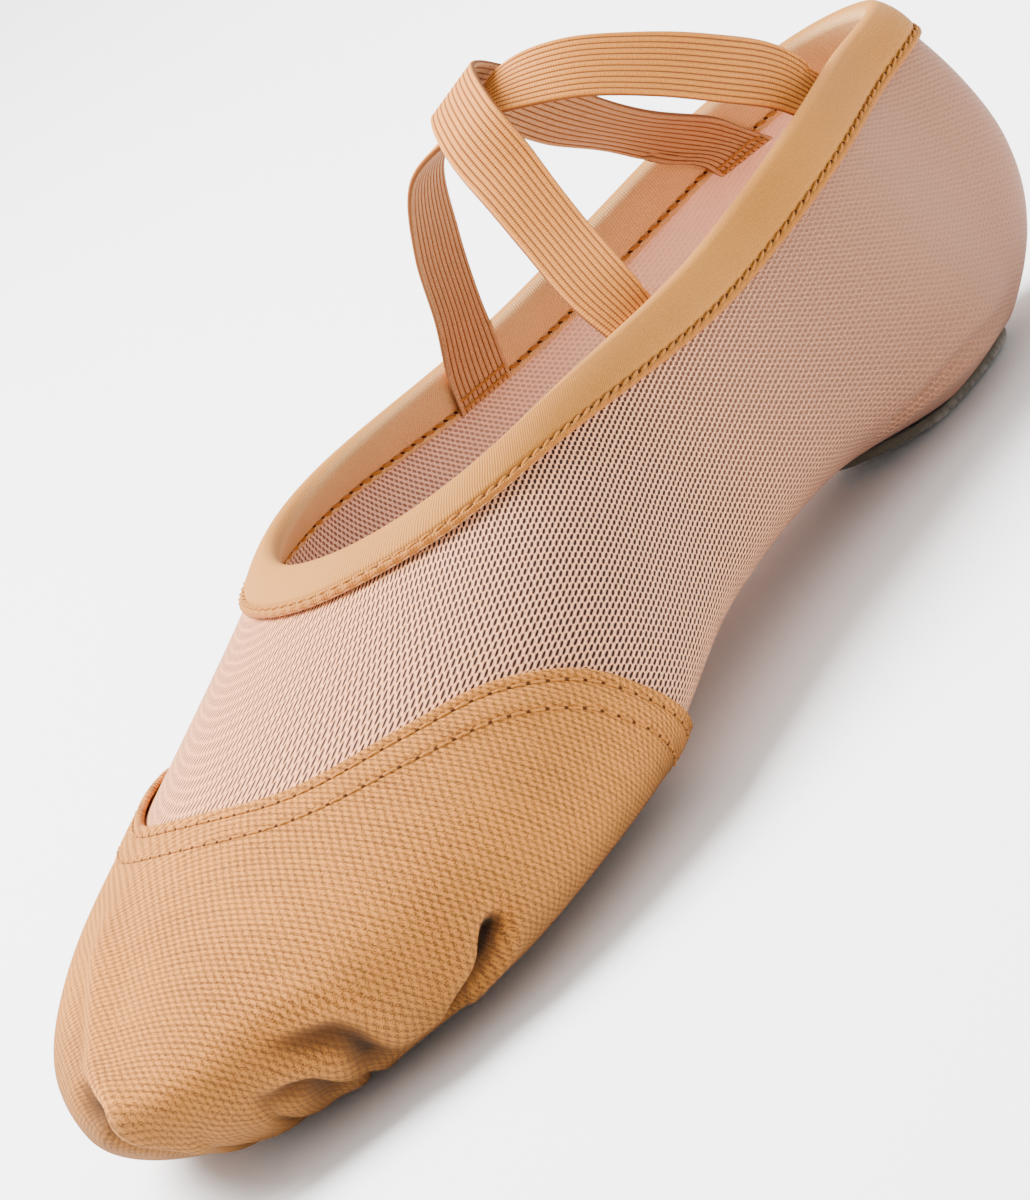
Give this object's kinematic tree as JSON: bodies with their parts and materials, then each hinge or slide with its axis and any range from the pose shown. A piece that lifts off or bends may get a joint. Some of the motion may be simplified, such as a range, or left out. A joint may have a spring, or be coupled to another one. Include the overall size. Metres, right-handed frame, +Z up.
{
  "type": "split-sole ballet shoe",
  "caption": "Soft split-sole ballet shoe for the right foot, with a mesh upper, canvas toe cap, folded collar binding and crossed elastic straps.",
  "frame": {"origin": "middle of the shoe's length and width, on the floor", "axes": "-Y to the toe, +Y to the heel, +X to the inner (medial) side, +Z up"},
  "size_m": [0.0996, 0.2448, 0.0928],
  "materials": {
    "mesh_fabric": "stretch powernet, matte",
    "canvas": "plain woven canvas, matte",
    "jersey": "smooth knitted jersey, matte",
    "elastic": "ribbed woven elastic",
    "suede": "suede, very matte",
    "cotton": "brushed cotton, matte"
  },
  "bodies": {
    "root": {"upper": "mesh_fabric", "toe_cap": "canvas", "collar_binding": "jersey", "strap_over": "elastic", "strap_under": "elastic", "forefoot_sole": "suede", "heel_sole": "suede", "forefoot_insole": "cotton", "heel_insole": "cotton"}
  },
  "joints": []
}
